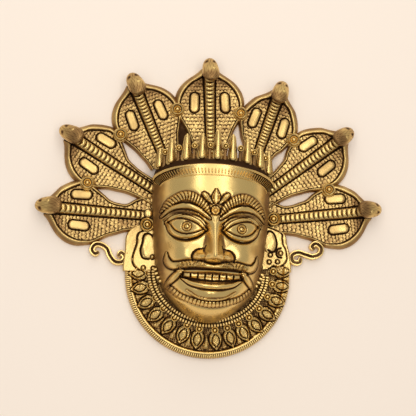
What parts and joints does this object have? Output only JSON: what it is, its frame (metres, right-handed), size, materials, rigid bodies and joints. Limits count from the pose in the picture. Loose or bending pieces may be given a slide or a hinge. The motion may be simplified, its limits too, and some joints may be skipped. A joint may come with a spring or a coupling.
{
  "type": "deity face mask",
  "caption": "Hollow brass face mask with a spiked crown band, a fan of cobra hoods and a beaded collar, to hang on a wall.",
  "frame": {"origin": "centre of the overall box, in the plane of the flat back", "axes": "+X to the viewer's right, +Y from the chin towards the crown, +Z out of the face"},
  "size_m": [0.3523, 0.3062, 0.0813],
  "materials": {
    "brass": "cast golden brass, polished on the raised parts, with dark brown patina left in the recesses"
  },
  "bodies": {
    "root": {"mask": "brass"}
  },
  "joints": []
}
